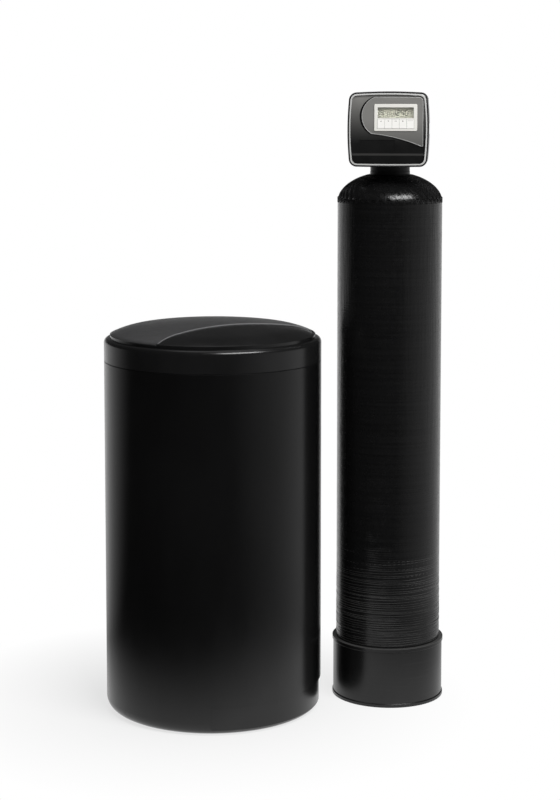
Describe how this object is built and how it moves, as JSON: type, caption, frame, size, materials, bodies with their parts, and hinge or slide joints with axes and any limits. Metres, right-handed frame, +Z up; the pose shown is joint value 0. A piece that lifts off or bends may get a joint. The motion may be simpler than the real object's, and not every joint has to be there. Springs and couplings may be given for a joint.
{
  "type": "water softener",
  "caption": "Twin-tank domestic water softener: wound resin tank with a metered electronic control head, beside a round lidded brine tank.",
  "frame": {"origin": "centre of the resin tank's foot, on the floor", "axes": "+Z up; -Y is the side that the control head's face looks to; the brine tank stands on the -X side"},
  "size_m": [0.735, 0.4993, 1.3385],
  "materials": {
    "wound_shell": "resin-wet filament winding",
    "liner_plastic": "natural",
    "moulded_black": "fine moulded grain",
    "boot_plastic": "satin moulded",
    "resin_beads": "packed beads",
    "pipe_plastic": "extruded",
    "strainer_plastic": "moulded",
    "valve_plastic": "glass-filled moulding",
    "seal_rubber": "moulded",
    "spacer_plastic": "moulded",
    "piston_plastic": "polished",
    "gear_plastic": "acetal",
    "steel": "plain",
    "motor_case": "satin",
    "board": "solder mask",
    "display": "reflective liquid crystal",
    "head_cover": "satin moulded",
    "bezel_silver": "satin silver",
    "window_clear": "clear",
    "key_pale": "satin",
    "brass": "machined",
    "injector_red": "moulded",
    "brine_plastic": "satin moulded",
    "lid_plastic": "satin moulded",
    "float_foam": "closed cell"
  },
  "bodies": {
    "softener": {"tank_winding": "wound_shell", "tank_liner": "liner_plastic", "tank_neck": "moulded_black", "tank_boot": "boot_plastic", "resin_bed": "resin_beads", "riser_tube": "pipe_plastic", "bottom_strainer": "strainer_plastic", "top_strainer": "strainer_plastic", "valve_body": "valve_plastic", "riser_seal": "seal_rubber", "spacer_stack": "spacer_plastic", "lip_seals": "seal_rubber", "drive_cap": "valve_plastic", "gear_axle": "steel", "motor": "motor_case", "drive_bracket": "valve_plastic", "bracket_screws": "steel", "back_plate": "valve_plastic", "power_gland": "seal_rubber", "circuit_board": "board", "lcd": "display", "port_seals": "seal_rubber", "port_tails": "brass", "port_nuts": "valve_plastic", "meter_spider": "spacer_plastic", "drain_elbow": "valve_plastic", "drain_clip": "steel", "injector": "injector_red", "injector_cap": "valve_plastic", "brine_nut": "spacer_plastic", "brine_tank": "brine_plastic", "brine_well": "pipe_plastic", "salt_grid": "moulded_black", "safety_valve": "spacer_plastic", "pickup_tube": "pipe_plastic", "air_check": "spacer_plastic", "line_fitting": "spacer_plastic", "line_nut": "spacer_plastic", "overflow_gasket": "seal_rubber", "overflow_elbow": "moulded_black", "overflow_nut": "moulded_black"},
    "lid": {"lid": "lid_plastic"},
    "cover": {"front_cover": "head_cover", "bezel": "bezel_silver", "display_window": "window_clear"},
    "main_gear": {"main_gear": "gear_plastic"},
    "reduction_gear": {"reduction_gear": "gear_plastic"},
    "motor_pinion": {"motor_pinion": "gear_plastic"},
    "piston": {"piston": "piston_plastic"},
    "meter_rotor": {"meter_rotor": "gear_plastic"},
    "float": {"float_body": "float_foam", "float_rod": "pipe_plastic"},
    "check_ball": {"check_ball": "piston_plastic"},
    "well_cap": {"well_cap": "moulded_black"},
    "button_1": {"button_1": "key_pale"},
    "button_2": {"button_2": "key_pale"},
    "button_3": {"button_3": "key_pale"},
    "button_4": {"button_4": "key_pale"},
    "button_5": {"button_5": "key_pale"}
  },
  "joints": [
    {"name": "lid_lift", "type": "slide", "parent": "softener", "child": "lid", "axis": [0, 0, 1], "range_m": [0, 0.25]},
    {"name": "cover_pull", "type": "slide", "parent": "softener", "child": "cover", "axis": [0, -1, 0], "range_m": [0, 0.12]},
    {"name": "main_gear_turn", "type": "hinge", "parent": "softener", "child": "main_gear", "pos_m": [0, -0.046, 1.236], "axis": [0, 1, 0], "range_deg": [0, 720]},
    {"name": "reduction_turn", "type": "hinge", "parent": "softener", "child": "reduction_gear", "pos_m": [-0.01875, -0.05, 1.26848], "axis": [0, 1, 0], "range_deg": [-2880, 0]},
    {"name": "motor_turn", "type": "hinge", "parent": "softener", "child": "motor_pinion", "pos_m": [-0.03572, -0.054, 1.28545], "axis": [0, 1, 0], "range_deg": [0, 8640]},
    {"name": "piston_travel", "type": "slide", "parent": "softener", "child": "piston", "axis": [0, -1, 0], "range_m": [0, 0.032]},
    {"name": "rotor_spin", "type": "hinge", "parent": "softener", "child": "meter_rotor", "pos_m": [-0.038, 0.066, 1.236], "axis": [0, 1, 0], "continuous": true},
    {"name": "float_lift", "type": "slide", "parent": "softener", "child": "float", "axis": [0, 0, 1], "range_m": [0, 0.012]},
    {"name": "ball_lift", "type": "slide", "parent": "softener", "child": "check_ball", "axis": [0, 0, 1], "range_m": [0, 0.005]},
    {"name": "well_cap_lift", "type": "slide", "parent": "softener", "child": "well_cap", "axis": [0, 0, 1], "range_m": [0, 0.02]},
    {"name": "button_1_press", "type": "slide", "parent": "cover", "child": "button_1", "axis": [0, 1, 0], "range_m": [0, 0.0009], "stiffness_N_per_m": 500},
    {"name": "button_2_press", "type": "slide", "parent": "cover", "child": "button_2", "axis": [0, 1, 0], "range_m": [0, 0.0009], "stiffness_N_per_m": 500},
    {"name": "button_3_press", "type": "slide", "parent": "cover", "child": "button_3", "axis": [0, 1, 0], "range_m": [0, 0.0009], "stiffness_N_per_m": 500},
    {"name": "button_4_press", "type": "slide", "parent": "cover", "child": "button_4", "axis": [0, 1, 0], "range_m": [0, 0.0009], "stiffness_N_per_m": 500},
    {"name": "button_5_press", "type": "slide", "parent": "cover", "child": "button_5", "axis": [0, 1, 0], "range_m": [0, 0.0009], "stiffness_N_per_m": 500}
  ],
  "couplings": [
    {"joint": "reduction_turn", "follows": "main_gear_turn", "ratio": -4},
    {"joint": "motor_turn", "follows": "main_gear_turn", "ratio": 12},
    {"joint": "piston_travel", "follows": "main_gear_turn", "m_per_rad": 0.002546}
  ]
}
